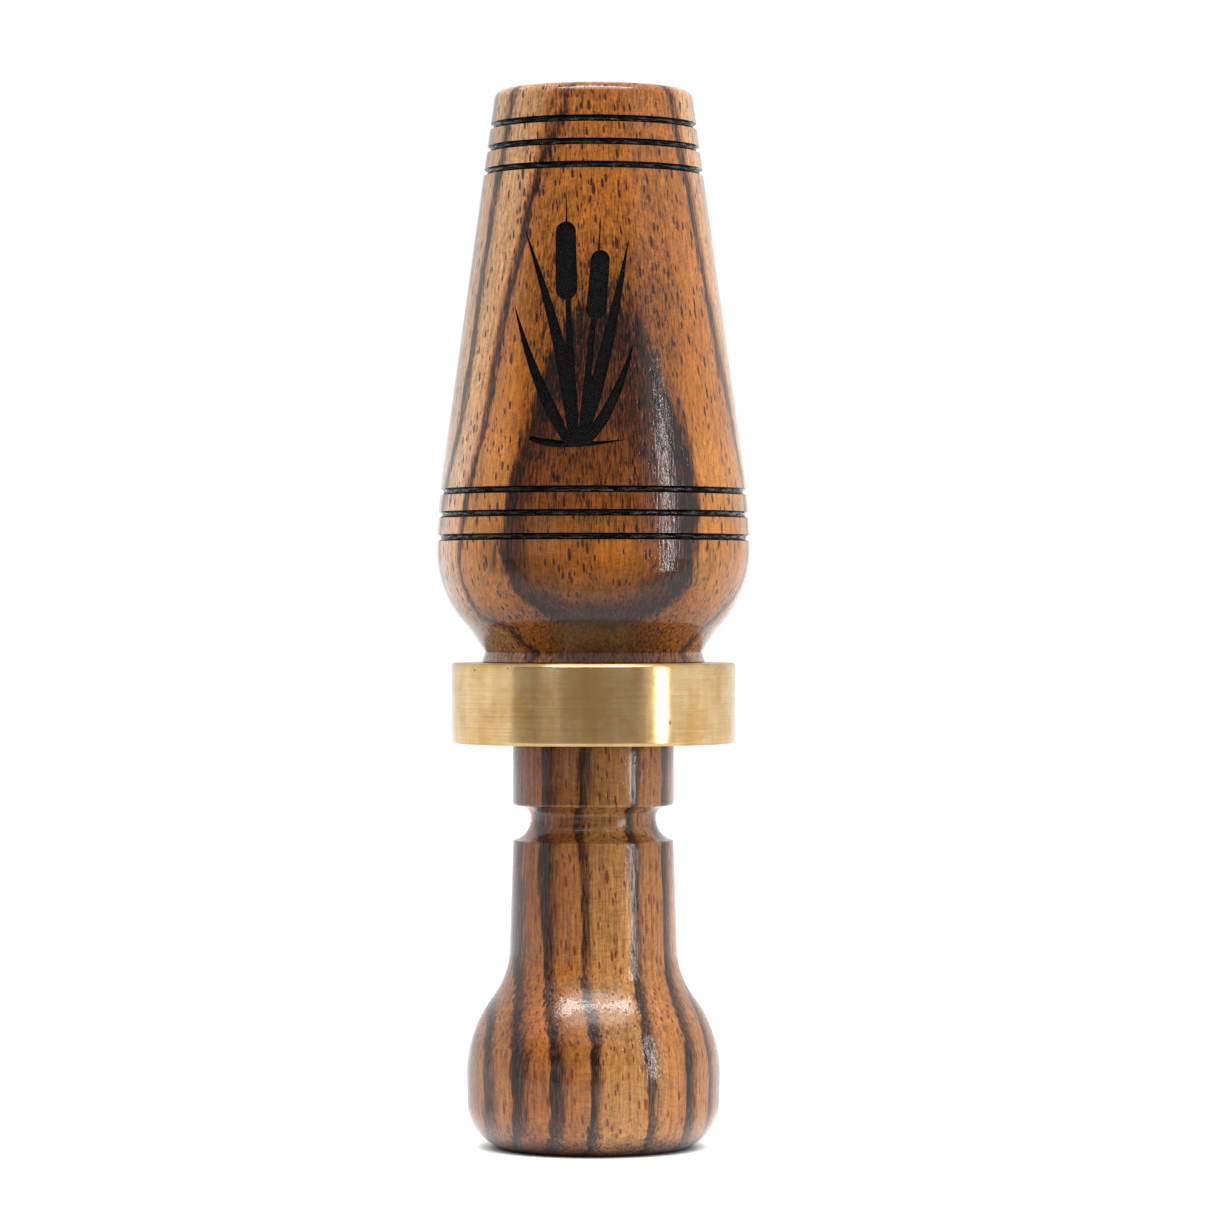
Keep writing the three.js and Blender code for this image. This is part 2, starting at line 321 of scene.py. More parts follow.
def turned_body(outline, segments):
    """Vertices and faces of a closed outline turned about Z. Column 0 is at the front, on -Y."""
    count = len(outline)
    vertices = []
    for k in range(segments):
        t = 2 * math.pi * k / segments
        vertices += [(r * math.sin(t), -r * math.cos(t), z) for r, z in outline]
    faces = []
    for k in range(segments):
        for i in range(count):
            j, n = (i + 1) % count, (k + 1) % segments
            faces.append((k * count + i, n * count + i, n * count + j, k * count + j))
    return vertices, facing_out(vertices, faces)


def finish_piece(made, body, nodes, slot, materials):
    for material in materials:
        made.data.materials.append(material)
    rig.replaces(made, *nodes)
    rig.slot(made, slot)
    if body:
        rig.ride(made, body)
    return made


# ---- Shader building ----
def rgb(red, green, blue):
    """A linear colour from its 0 to 255 display values."""
    linear = []
    for value in (red, green, blue):
        c = value / 255
        linear.append(c / 12.92 if c <= 0.04045 else ((c + 0.055) / 1.055) ** 2.4)
    return (*linear, 1.0)


class Shader:
    """One material's nodes. Each method makes a node and returns its result for the next one.

    at is the point on the piece, in millimetres of its own frame."""

    def __init__(self, name):
        self.material = bpy.data.materials.new(name)
        self.material.use_nodes = True
        self.tree = self.material.node_tree
        self.tree.nodes.clear()
        inputs = {0: self.node("ShaderNodeTexCoord").outputs["Object"], 1: (1 / MM, 1 / MM, 1 / MM)}
        self.at = self.node("ShaderNodeVectorMath", inputs, operation="MULTIPLY").outputs[0]

    def node(self, kind, inputs=None, **settings):
        made = self.tree.nodes.new(kind)
        for key, value in settings.items():
            setattr(made, key, value)
        for key, value in (inputs or {}).items():
            if isinstance(value, bpy.types.NodeSocket):
                self.tree.links.new(value, made.inputs[key])
            else:
                made.inputs[key].default_value = value
        return made

    def split(self, vector):
        return self.node("ShaderNodeSeparateXYZ", {0: vector}).outputs[:3]

    def join(self, x, y, z):
        return self.node("ShaderNodeCombineXYZ", {0: x, 1: y, 2: z}).outputs[0]

    def stretch(self, vector, x, y, z, shift=(0, 0, 0)):
        """Vector times (x, y, z), plus shift."""
        inputs = {0: vector, 1: (x, y, z), 2: shift}
        return self.node("ShaderNodeVectorMath", inputs, operation="MULTIPLY_ADD").outputs[0]

    def math(self, operation, a, b=0.0, c=0.0, clamp=False):
        inputs = {0: a, 1: b, 2: c}
        return self.node("ShaderNodeMath", inputs, operation=operation, use_clamp=clamp).outputs[0]

    def scaled(self, value, factor, shift, clamp=False):
        """Value times factor, plus shift."""
        return self.math("MULTIPLY_ADD", value, factor, shift, clamp)

    def larger(self, a, b):
        return self.math("MAXIMUM", a, b)

    def add(self, *values):
        total = values[0]
        for value in values[1:]:
            total = self.math("ADD", total, value)
        return total

    def times(self, *values):
        total = values[0]
        for value in values[1:]:
            total = self.math("MULTIPLY", total, value)
        return total

    def step(self, value, low, high):
        """0 below low, 1 above high and smooth between. With low above high it falls instead."""
        inputs = {"Value": value, "From Min": low, "From Max": high}
        return self.node("ShaderNodeMapRange", inputs, interpolation_type="SMOOTHSTEP").outputs[0]

    def noise(self, vector, detail=2.0, roughness=0.5):
        inputs = {"Vector": vector, "Scale": 1.0, "Detail": detail, "Roughness": roughness}
        return self.node("ShaderNodeTexNoise", inputs).outputs[0]

    def noise_in(self, size, detail=2.0, roughness=0.5, shift=(0, 0, 0)):
        """Noise over the piece, at a point that is stretched by size and moved by shift."""
        return self.noise(self.stretch(self.at, *size, shift), detail, roughness)

    def signed_noise(self, vector, reach, detail=2.0):
        """Noise from -reach to +reach."""
        return self.scaled(self.noise(vector, detail), 2 * reach, -reach)

    def noise_along(self, value, scale, detail=2.0):
        inputs = {"W": value, "Scale": scale, "Detail": detail}
        return self.node("ShaderNodeTexNoise", inputs, noise_dimensions="1D").outputs[0]

    def cells(self, vector):
        """Distance to the nearest cell point, and that cell's random number."""
        made = self.node("ShaderNodeTexVoronoi", {"Vector": vector, "Scale": 1.0})
        return made.outputs["Distance"], self.split(made.outputs["Color"])[0]

    def ramp(self, value, stops, interpolation="LINEAR"):
        """Colour or grey level along value, which runs from 0 to 1."""
        made = self.node("ShaderNodeValToRGB", {0: value})
        made.color_ramp.interpolation = interpolation
        elements = made.color_ramp.elements
        for index, (place, level) in enumerate(stops):
            spot = elements[index] if index < 2 else elements.new(place)
            spot.position = place
            spot.color = level if isinstance(level, tuple) else (level, level, level, 1.0)
        return made.outputs[0]

    def mix(self, share, a, b, blend="MIX"):
        made = self.node("ShaderNodeMix", {0: share, 6: a, 7: b}, data_type="RGBA", blend_type=blend)
        made.clamp_factor = True
        return made.outputs[2]

    def shade(self, colour, level):
        """Colour times a grey level."""
        return self.mix(1.0, colour, self.join(level, level, level), "MULTIPLY")

    def bump(self, height, depth_mm):
        inputs = {"Height": height, "Distance": depth_mm * MM, "Strength": 1.0}
        return self.node("ShaderNodeBump", inputs).outputs[0]

    def surface(self, **inputs):
        """Ends the material with a Principled shader. An input's name has _ for each space."""
        named = {key.replace("_", " "): value for key, value in inputs.items()}
        made = self.node("ShaderNodeBsdfPrincipled", named)
        self.node("ShaderNodeOutputMaterial", {"Surface": made.outputs[0]})
        return self.material


# ---- Wood ----
LACQUER_GLARE = 0.022  # what the lacquer adds to every tone
LIGHT_CAST = (0.95, 1.01, 1.22)  # red, green and blue: the light and the lacquer together look bluish


def tone(look, light):
    """A wood's bare colour from how it looks lacquered, in 0 to 255 display values, in this much light."""
    bare = [max(c - LACQUER_GLARE, 0.3 * c) for c in rgb(*look)[:3]]
    return (*[c / (light * cast) for c, cast in zip(bare, LIGHT_CAST)], 1.0)


def barrel_layers(s, x, y, z):
    """Depth across the barrel's growth layers: nearly flat sheets that face the front."""
    front = s.math("MULTIPLY", y, -1.0)
    past = s.larger(s.add(front, -9.0), 0.0)
    tilt = s.scaled(past, -0.025, 0.21)
    side = s.larger(s.add(s.math("ABSOLUTE", x), -13.0), 0.0)
    curl = s.times(side, side, 0.10)
    low = s.larger(s.math("SUBTRACT", 85.0, z), 0.0)
    bow = s.times(s.step(x, -9.5, -13.5), low, 0.14)
    high = s.larger(s.add(z, -88.0), 0.0)
    lean = s.times(s.step(x, 2.0, -4.0), high, -0.032)
    return s.add(front, s.times(x, tilt), curl, bow, lean)


def barrel_shade(s, x, y, z):
    """How much darker the barrel's wood is: painted shade on the lower belly above the band, strongest at the middle
    of the front, and a smoky heart down the front.

    It is lighter, below 0, at both sides of the belly: painted light there."""
    across = s.math("ABSOLUTE", s.add(x, -1.2))
    # Painted shade: the lower belly above the band is made darker, most at the front's middle.
    neck_painted_shade = s.times(s.step(z, 65.5, 61.0), s.scaled(s.step(across, 8.0, 3.0), 0.48, 0.30))
    upper = s.scaled(s.step(z, 109.0, 97.0), 0.22, 0.21)
    heart = s.times(s.step(across, 10.5, 6.3), s.step(y, 2.0, -6.0), s.step(z, 69.5, 75.0), upper)
    # Painted light: the belly's sides are made lighter and, in wood(), bluer.
    flank_painted_light = s.times(s.step(across, 9.0, 11.5), s.step(z, 88.0, 80.0), s.step(z, 62.0, 66.0), -0.32)
    return s.add(s.larger(neck_painted_shade, heart), flank_painted_light)


def insert_shade(s, x, y, z):
    """How much darker the insert's wood is: painted shade round its foot, by the floor."""
    return s.times(s.step(z, 3.0, 0.5), 0.6)


def insert_layers(s, x, y, z):
    """Depth across the insert's growth layers: sheets edge-on to the front, which fan out forwards."""
    back = s.scaled(s.math("SMOOTH_MIN", y, 0.0, 6.0), -1.0, 29.3)
    spread = s.math("DIVIDE", s.add(x, 12.0), back)
    return s.scaled(spread, 41.0, -12.0)


def vein_stops(veins, place):
    """Ramp stops for dark veins. Each is its depth, sharp and soft side widths and strength."""
    stops = []
    for depth, sharp, soft, strength in veins:
        stops += [(place(depth - sharp), 0.0), (place(depth), strength), (place(depth + soft), 0.0)]
    return stops


def wood(name, light, layers, shade, span, tones, veins, pores, ripple):
    """Striped hardwood under clear gloss lacquer. span is the lowest and highest depth of layers.

    pores is their colour away from the veins, and how far that colour reaches into the veins.
    layers and shade are functions of the place: depth across the layers, and how much darker it is, from darker figure
    and from painted shade; below 0 it is painted light."""
    s = Shader(name)
    low, high = span

    def place(depth):
        return (depth - low) / (high - low)

    x, y, z = s.split(s.at)
    drift = s.signed_noise(s.stretch(s.at, 0.07, 0.07, 0.028), 1.0)
    wave = s.signed_noise(s.stretch(s.at, 0.30, 0.30, 0.10), 0.55)
    ragged = s.signed_noise(s.stretch(s.at, 1.7, 1.7, 0.26), 0.75, 4.0)
    depth = s.add(layers(s, x, y, z), drift, wave)
    along = s.scaled(depth, 1 / (high - low), -low / (high - low), clamp=True)
    frayed = s.scaled(ragged, 1 / (high - low), along, clamp=True)

    # Ground colour: tones across the layers, finer layers, long fibres and a short ripple.
    ground = s.ramp(along, [(place(d), tone(look, light)) for d, look in tones], "EASE")
    layer = s.noise_along(s.add(depth, s.times(ragged, 0.5)), 1.6, 3.0)
    fibre = s.noise_in((6.0, 6.0, 0.55), 3.0, 0.65)
    strand = s.noise_in((2.6, 2.6, 0.10), 3.0, 0.6, shift=(7, 3, 1))
    blotch = s.noise_in((0.20, 0.20, 0.08), 2.0, shift=(3, 1, 5))
    slant = s.signed_noise(s.stretch(s.at, 0.10, 0.10, 0.06, (1, 1, 8)), 2.6)
    tick_at = s.join(s.times(x, 0.9), s.times(y, 0.9), s.add(s.times(z, 3.4), s.times(x, slant)))
    tick = s.add(s.noise(tick_at, 3.0, 0.65), -0.5)
    tick = s.scaled(tick, s.times(blotch, 2.0), 0.5)
    level = s.add(
        s.scaled(layer, 0.70, -0.35),
        s.scaled(fibre, 1.70, -0.85),
        s.scaled(strand, 1.50, -0.75),
        s.scaled(blotch, 0.90, -0.45),
        s.scaled(tick, 2 * ripple, -ripple),
        1.0,
    )
    # darker is the darker figure plus painted shade; below 0 it is painted light, which the second mix below also
    # tints bluish.
    darker = shade(s, s.add(x, s.times(ragged, 1.3)), y, s.add(z, s.times(wave, 2.0)))
    level = s.times(s.larger(level, 0.25), s.math("SUBTRACT", 1.0, darker))
    ground = s.mix(darker, s.shade(ground, level), (1.2, 0.98, 0.66, 1.0), "MULTIPLY")
    ground = s.mix(s.times(darker, -3.0), ground, (0.92, 1.04, 1.5, 1.0), "MULTIPLY")

    # Dark veins: a brown stain and black streaks, sharp on one side and torn off along the grain.
    vein = s.ramp(frayed, vein_stops(veins, place), "LINEAR")
    fade = s.noise_in((0.25, 0.25, 0.06), 2.0, shift=(6, 6, 2))
    vein = s.times(vein, s.scaled(fade, 1.2, 0.4))
    streak = s.noise_in((4.6, 4.6, 0.30), 4.0, 0.7, shift=(1, 8, 2))
    torn = s.scaled(streak, 1.9, -0.95)
    # The smoky streaks, torn veins and black pores follow darker, so the painted shade brings them too.
    smoke = s.times(s.step(streak, 0.47, 0.62), darker, 2.0)
    ground = s.mix(smoke, ground, tone((34, 22, 13), light))
    tear = s.scaled(s.larger(darker, 0.0), 3.0, 0.65)
    stain = s.step(s.scaled(torn, tear, vein), 0.0, 0.68)
    core = s.step(s.scaled(torn, 1.9, vein), 0.60, 1.02)
    ground = s.mix(s.times(stain, 0.84), ground, s.shade(tone((80, 50, 27), light), level))
    ground = s.mix(s.times(core, 0.93), ground, s.shade(tone((30, 21, 15), light), level))

    # Pores: short open vessels along the grain, black beside the veins.
    lean = s.join(s.add(x, s.times(z, 0.05)), y, z)
    near, chance = s.cells(s.stretch(lean, 2.1, 2.1, 0.50))
    reach = s.scaled(s.math("POWER", chance, 2.0), 0.42, 0.06)
    pore = s.step(near, reach, s.times(reach, 0.65))
    wide, odds = s.cells(s.stretch(lean, 1.25, 1.25, 0.34, (5, 2, 9)))
    odds = s.math("POWER", odds, 1.5)
    broad = s.step(wide, s.times(odds, 0.33), s.times(odds, 0.23))
    open_pore = s.larger(pore, broad)
    pore_tone, pore_reach = pores
    dark = s.step(s.add(vein, s.times(torn, 0.6), s.times(darker, 0.8)), pore_reach, pore_reach + 0.35)
    pore_colour = s.mix(dark, tone(pore_tone, light), tone((20, 13, 10), light))
    colour = s.mix(s.times(open_pore, 0.92), ground, pore_colour)

    # Lacquer: gloss that still shows the pores and the grain.
    relief = s.add(s.times(open_pore, -1.0), s.times(fibre, 0.5), s.times(tick, 0.4))
    skin = s.add(s.times(open_pore, -0.4), s.times(fibre, 0.12), s.times(strand, 0.9), s.times(tick, 0.25))
    return s.surface(
        Base_Color=colour,
        Roughness=s.scaled(fibre, 0.3, 0.35),
        Specular_IOR_Level=0.1,
        Normal=s.bump(relief, 0.05),
        Coat_Weight=1.0,
        Coat_Roughness=0.055,
        Coat_IOR=1.4,
        Coat_Normal=s.bump(skin, 0.035),
    )


def barrel_wood():
    tones = [
        (-20, (140, 90, 52)), (-14, (170, 118, 74)), (-7, (150, 98, 60)), (-1, (182, 136, 100)),
        (4.6, (190, 149, 114)), (7.8, (192, 147, 109)), (9.3, (168, 112, 72)), (11, (166, 108, 60)),
        (14, (160, 102, 52)), (15.6, (118, 75, 37)), (17, (126, 80, 37)), (18.6, (150, 94, 43)),
    ]
    veins = [
        (-16.4, 0.8, 1.8, 0.9), (-12.0, 0.7, 2.4, 1.0), (-8.8, 0.7, 1.6, 0.8), (-5.2, 0.8, 2.6, 1.0),
        (-1.0, 0.7, 2.0, 0.9), (4.0, 0.7, 1.4, 1.0), (9.8, 0.9, 0.5, 1.1), (15.1, 0.6, 2.5, 1.1),
    ]
    pores = ((68, 36, 22), 0.10)
    return wood("barrel_wood", 1.25, barrel_layers, barrel_shade, (-20, 20), tones, veins, pores, 0.55)


def insert_wood():
    tones = [
        (-18, (176, 120, 74)), (-10.5, (176, 120, 76)), (-7.2, (174, 110, 64)),
        (-3, (174, 114, 66)), (1.5, (188, 136, 86)), (5, (190, 138, 86)),
        (9.5, (192, 130, 76)), (14, (180, 124, 78)), (21, (172, 112, 66)),
    ]
    veins = [
        (-15.6, 0.5, 1.4, 0.9), (-12.6, 0.7, 1.8, 1.1), (-8.8, 0.6, 1.8, 1.05),
        (-5.3, 0.45, 1.9, 1.05), (-0.9, 0.5, 1.7, 0.95), (5.9, 0.45, 2.1, 1.05),
        (12.2, 0.7, 2.4, 1.1), (17.6, 0.6, 2.2, 1.0), (22.4, 0.7, 2.2, 1.0),
    ]
    pores = ((136, 66, 26), 0.25)
    return wood("insert_wood", 1.95, insert_layers, insert_shade, (-20, 28), tones, veins, pores, 0.6)


def burned_line():
    """Scorched wood in the turned lines: black, wet-looking and uneven."""
    s = Shader("burned_line")
    grit = s.noise_in((2.6, 2.6, 2.6), 4.0, 0.65)
    glint = s.noise_in((0.7, 0.7, 6.0), 3.0)
    colour = s.mix(s.step(grit, 0.5, 0.75), rgb(5, 4, 3), rgb(22, 16, 12))
    return s.surface(
        Base_Color=colour,
        Roughness=0.3,
        Specular_IOR_Level=0.05,
        Coat_Weight=s.step(glint, 0.42, 0.62),
        Coat_Roughness=0.08,
        Coat_Normal=s.bump(s.add(grit, glint), 0.10),
    )


def engraving_char():
    """The floor of the laser engraving: matte char with the fine lines that the beam leaves."""
    s = Shader("engraving_char")
    x, y, z = s.split(s.at)
    line = s.math("SINE", s.times(s.add(z, s.times(x, 0.55)), 2 * math.pi / 0.26))
    cross = s.math("SINE", s.times(s.add(z, s.times(x, -1.3)), 2 * math.pi / 0.42))
    hatch = s.scaled(s.add(line, cross), 0.25, 0.5)
    grit = s.noise_in((5.0, 5.0, 5.0), 3.0, 0.7)
    speck = s.step(s.add(s.times(hatch, 0.45), s.times(grit, 0.8)), 0.64, 0.86)
    return s.surface(
        Base_Color=s.mix(speck, rgb(0, 0, 0), rgb(36, 36, 39)),
        Roughness=0.75,
        Specular_IOR_Level=0.05,
        Normal=s.bump(s.add(s.times(hatch, 0.6), grit), 0.06),
    )


# ---- Other materials ----
def brass():
    """Brass, turned and left with fine rings, a little stained and scratched. Its ends are duller."""
    s = Shader("brass")
    x, y, z = s.split(s.at)
    ring = s.noise_in((0.05, 0.05, 9.0), 4.0, 0.7)
    fine = s.noise_in((0.16, 0.16, 24.0), 2.0, 0.6, shift=(4, 4, 4))
    wipe = s.noise_in((0.42, 0.42, 0.03), 3.0, 0.6, shift=(2, 5, 1))
    stain = s.noise_in((0.22, 0.22, 0.16), 3.0, 0.6)
    smear = s.noise_in((0.5, 0.5, 2.0), 3.0, 0.65, shift=(9, 1, 2))
    top_end = s.step(z, band_high.z - 0.4, band_high.z)
    bottom_end = s.step(z, band_low.z + 0.4, band_low.z)
    end = s.larger(top_end, bottom_end)
    scratch_at = s.join(s.add(x, s.times(z, 1.1)), y, s.add(s.times(z, 6.0), s.times(x, -5.0)))
    scratch = s.step(s.noise(s.stretch(scratch_at, 0.25, 0.25, 2.2), 2.0), 0.70, 0.76)
    near, chance = s.cells(s.stretch(s.at, 0.45, 0.45, 0.45))
    pit = s.step(near, s.times(chance, 0.10), s.times(chance, 0.06))
    metal = s.mix(s.step(stain, 0.35, 0.7), rgb(208, 179, 134), rgb(195, 157, 100))
    metal = s.mix(s.times(s.step(smear, 0.5, 0.8), 0.3), metal, rgb(160, 122, 76))
    level = s.add(s.scaled(ring, 0.65, 0.38), s.times(wipe, 0.6))
    metal = s.mix(s.times(pit, 0.8), s.shade(metal, level), rgb(62, 42, 24))
    height = s.add(s.times(ring, 1.0), s.times(fine, 0.6), s.times(scratch, -0.5), s.times(pit, -4.0))
    return s.surface(
        Base_Color=metal,
        Metallic=1.0,
        Roughness=s.add(s.scaled(smear, 0.10, 0.17), s.times(end, 0.25)),
        Anisotropic=0.88,
        Anisotropic_Rotation=0.25,
        Tangent=s.node("ShaderNodeTangent", direction_type="RADIAL", axis="Z").outputs[0],
        Normal=s.bump(height, 0.006),
    )


def acetal():
    """Ivory acetal, moulded: satin, with faint flow marks and handling dust."""
    s = Shader("acetal")
    flow = s.noise_in((0.3, 0.3, 0.08), 3.0, 0.6)
    peel = s.noise_in((3.5, 3.5, 3.5), 3.0, 0.6)
    dust = s.step(s.noise_in((9.0, 9.0, 9.0), 2.0), 0.66, 0.8)
    ivory = s.mix(flow, rgb(204, 192, 164), rgb(188, 174, 144))
    ivory = s.mix(s.times(dust, 0.3), ivory, rgb(150, 134, 108))
    return s.surface(
        Base_Color=ivory,
        Roughness=s.scaled(peel, 0.2, 0.28),
        Subsurface_Weight=0.25,
        Subsurface_Scale=0.0008,
        Normal=s.bump(s.add(peel, s.times(flow, 2.0)), 0.012),
    )


def film():
    """Milky polyester film, with fine draw lines."""
    s = Shader("film")
    draw = s.noise_in((4.0, 4.0, 0.12), 3.0, 0.6)
    haze = s.noise_in((0.6, 0.6, 0.4), 3.0, 0.6)
    return s.surface(
        Base_Color=s.mix(haze, rgb(226, 232, 230), rgb(208, 216, 214)),
        Roughness=s.scaled(haze, 0.15, 0.16),
        IOR=1.6,
        Transmission_Weight=0.35,
        Normal=s.bump(draw, 0.006),
    )


def cork():
    """Agglomerate cork: packed granules with dark gaps and pits."""
    s = Shader("cork")
    granules = s.stretch(s.at, 0.85, 0.85, 0.85)
    _, chance = s.cells(granules)
    edge = s.node("ShaderNodeTexVoronoi", {"Vector": granules}, feature="DISTANCE_TO_EDGE")
    grain = s.noise_in((5.0, 5.0, 5.0), 4.0, 0.7)
    gap = s.step(s.add(edge.outputs["Distance"], s.times(grain, 0.12)), 0.12, 0.06)
    pit_near, pit_chance = s.cells(s.stretch(s.at, 2.4, 2.4, 2.4, (3, 7, 1)))
    pit = s.step(pit_near, s.times(pit_chance, 0.3), s.times(pit_chance, 0.16))
    tans = [
        (0.0, rgb(150, 104, 60)),
        (0.45, rgb(190, 144, 92)),
        (0.8, rgb(204, 160, 108)),
        (1.0, rgb(132, 86, 48)),
    ]
    colour = s.shade(s.ramp(chance, tans), s.scaled(grain, 0.7, 0.62))
    colour = s.mix(s.times(s.larger(gap, pit), 0.75), colour, rgb(66, 38, 20))
    height = s.add(s.times(grain, 0.5), s.times(gap, -0.8), s.times(pit, -1.0))
    return s.surface(Base_Color=colour, Roughness=0.88, Specular_IOR_Level=0.2, Normal=s.bump(height, 0.12))


def rubber():
    """Black nitrile rubber, satin, with a film of dust."""
    s = Shader("rubber")
    grain = s.noise_in((6.0, 6.0, 6.0), 3.0, 0.6)
    dust = s.noise_in((0.9, 0.9, 1.6), 3.0, 0.65)
    return s.surface(
        Base_Color=s.mix(s.step(dust, 0.45, 0.85), rgb(26, 26, 27), rgb(62, 60, 58)),
        Roughness=s.scaled(dust, 0.3, 0.38),
        Normal=s.bump(grain, 0.012),
    )


# ---- The engraved motif: a cattail sprig, in the flat of the barrel's front ----
# Its points are (across, height): millimetres round the barrel from the front line, and height.
MOTIF_R = 14.5
WALL_DEPTH = 0.25


def blade(path, width, steps=16):
    """A leaf or stalk: a closed outline round a Bezier path, pointed at its far end."""
    line = [Vector(p) for p in bezier(path, steps)]
    left, right = [], []
    for i, here in enumerate(line):
        ahead = line[min(i + 1, steps)] - line[max(i - 1, 0)]
        side = Vector((-ahead.y, ahead.x)).normalized()
        t = i / steps
        half = width / 2 * (1 - t ** 2.4) * min(1.0, 0.55 + 1.8 * t)
        if i == steps:
            left.append(tuple(here))
        else:
            left.append(tuple(here + side * half))
            right.append(tuple(here - side * half))
    return left + right[::-1]


def cattail(foot, top, width, steps=9):
    """A cattail's seed head: a long outline with round ends."""
    foot, top = Vector(foot), Vector(top)
    axis = (top - foot).normalized()
    side = Vector((-axis.y, axis.x))
    half = width / 2
    outline = []
    for centre, first in ((top, 0.0), (foot, math.pi)):
        for i in range(steps + 1):
            t = first + math.pi * i / steps
            outline.append(tuple(centre - side * half * math.cos(t) + axis * half * math.sin(t)))
    return outline


MOTIF = [
    blade(((-1.9, 82.0), (-2.6, 95.0), (-8.9, 107.5)), 1.5),
    blade(((-1.2, 82.0), (1.6, 94.0), (4.3, 106.0)), 1.5),
    blade(((-2.3, 82.2), (-5.6, 88.5), (-9.4, 98.6)), 1.35),
    blade(((-0.7, 82.2), (2.2, 86.5), (4.4, 94.0)), 1.25),
    blade(((-1.5, 82.0), (-2.6, 92.0), (-3.4, 112.2)), 0.9),
    blade(((-1.3, 82.0), (-0.2, 92.0), (1.0, 109.2)), 0.8),
    cattail((-3.0, 100.0), (-3.3, 106.6), 2.5),
    cattail((0.35, 97.6), (0.85, 103.4), 2.2),
    blade(((-6.3, 82.9), (-3.0, 81.4), (3.4, 82.7)), 0.9),
]


def inside(point, outline):
    """Whether a flat point is inside a closed outline."""
    x, y = point
    found = False
    for (ax, ay), (bx, by) in zip(outline, outline[1:] + outline[:1]):
        if (ay > y) != (by > y) and x < (bx - ax) * (y - ay) / (by - ay) + ax:
            found = not found
    return found


# ---- Barrel ----
BARREL_SEGMENTS = 288
ROW_STEP = 0.5
MOTIF_COLUMNS = (-35, 17)  # of the barrel's segments
MOTIF_PITCH = MOTIF_R * 2 * math.pi / BARREL_SEGMENTS
MOTIF_ROWS = (81.0, 113.0)  # heights
cone_slope = (CONE_FOOT_R - CONE_TOP_R) / (CALL_HEIGHT - CONE_FOOT_Z)


def barrel_radius(z):
    if z > CONE_FOOT_Z:
        return CONE_TOP_R + cone_slope * (CALL_HEIGHT - z)
    t = (z - BELLY_Z) / (CONE_FOOT_Z - BELLY_Z)
    return BELLY_R - (BELLY_R - CONE_FOOT_R) * t * t


def side_points(heights):
    return [(barrel_radius(z), z) for z in heights]


def groove(z):
    """A turned line with a round floor and softened edges, from its lower to its upper edge."""
    half = GROOVE_WIDTH / 2
    found = []
    for i in range(9):
        t = -1 + i / 4
        depth = GROOVE_DEPTH * (1 - abs(t) ** 2.6)
        found.append((barrel_radius(z + t * half) - depth, z + t * half))
    return found


def groove_set(top):
    return [p for i in (2, 1, 0) for p in groove(top - i * GROOVE_PITCH)]


def barrel_outline():
    """The barrel's closed outline, the index of the motif's first row, and its number of rows."""
    lip_r = barrel_radius(CALL_HEIGHT - LIP_ROUND) - LIP_ROUND
    rows = round((MOTIF_ROWS[1] - MOTIF_ROWS[0]) / ROW_STEP)
    below = [(BORE_R + 0.4, BARREL_BOTTOM), (TENON_R, BARREL_BOTTOM), (TENON_R, TENON_TOP)]
    below += [(NECK_SHOULDER_R - 0.1, TENON_TOP), (NECK_SHOULDER_R, TENON_TOP + 0.12)]
    below += [(NECK_R + 0.06, NECK_Z - 0.2), (NECK_R, NECK_Z), (NECK_R + 0.12, NECK_Z + 0.2)]
    below += arc(BELLY_R - BELLY_ARC_R, BELLY_Z, BELLY_ARC_R, BELLY_ARC_DEGREES, 0, 28)
    below += side_points((70.5, 71.0))
    below += groove_set(GROOVE_SETS[1])
    below += side_points((78.0, 78.7, 79.4, 80.0, 80.5))
    motif = side_points(MOTIF_ROWS[0] + i * ROW_STEP for i in range(rows + 1))
    above = side_points((113.4, 113.8))
    above += groove_set(GROOVE_SETS[0])
    above += side_points((121.0, 121.8, 122.4))
    above += arc(lip_r, CALL_HEIGHT - LIP_ROUND, LIP_ROUND, 0, 90, 12)
    above += [(LIP_FLAT_R + 0.25, CALL_HEIGHT)]
    mouth = ((LIP_FLAT_R, CALL_HEIGHT), MOUTH_CURVE, (BORE_R, CALL_HEIGHT - MOUTH_FLARE_DEPTH))
    above += bezier(mouth, 10)
    above += [(BORE_R, z) for z in (110.0, 95.0, 80.0, 65.0, BARREL_BOTTOM + 0.4)]
    return below + motif + above, len(below), rows


def on_front(across, z, depth=0.0):
    """The barrel's surface at that millimetre across and height."""
    t = across / MOTIF_R
    r = barrel_radius(z) - depth
    return (r * math.sin(t), -r * math.cos(t), z)


def motif_points(border):
    """Flat points and edges for the engraved area: its border, the outlines and a filling."""
    points = [Vector(p) for p in border]
    edges = [(i, (i + 1) % len(border)) for i in range(len(border))]
    outlines = [spaced(outline, 0.3) for outline in MOTIF]
    for outline in outlines:
        first = len(points)
        points += [Vector(p) for p in outline]
        edges += [(first + i, first + (i + 1) % len(outline)) for i in range(len(outline))]
    tree = kdtree.KDTree(len(points))
    for i, p in enumerate(points):
        tree.insert((p.x, p.y, 0), i)
    tree.balance()
    for column in range(MOTIF_COLUMNS[0] + 1, MOTIF_COLUMNS[1]):
        z = MOTIF_ROWS[0] + ROW_STEP
        while z < MOTIF_ROWS[1] - ROW_STEP / 2:
            if tree.find((column * MOTIF_PITCH, z, 0))[2] > 0.16:
                points.append(Vector((column * MOTIF_PITCH, z)))
            z += ROW_STEP
    return points, edges, outlines


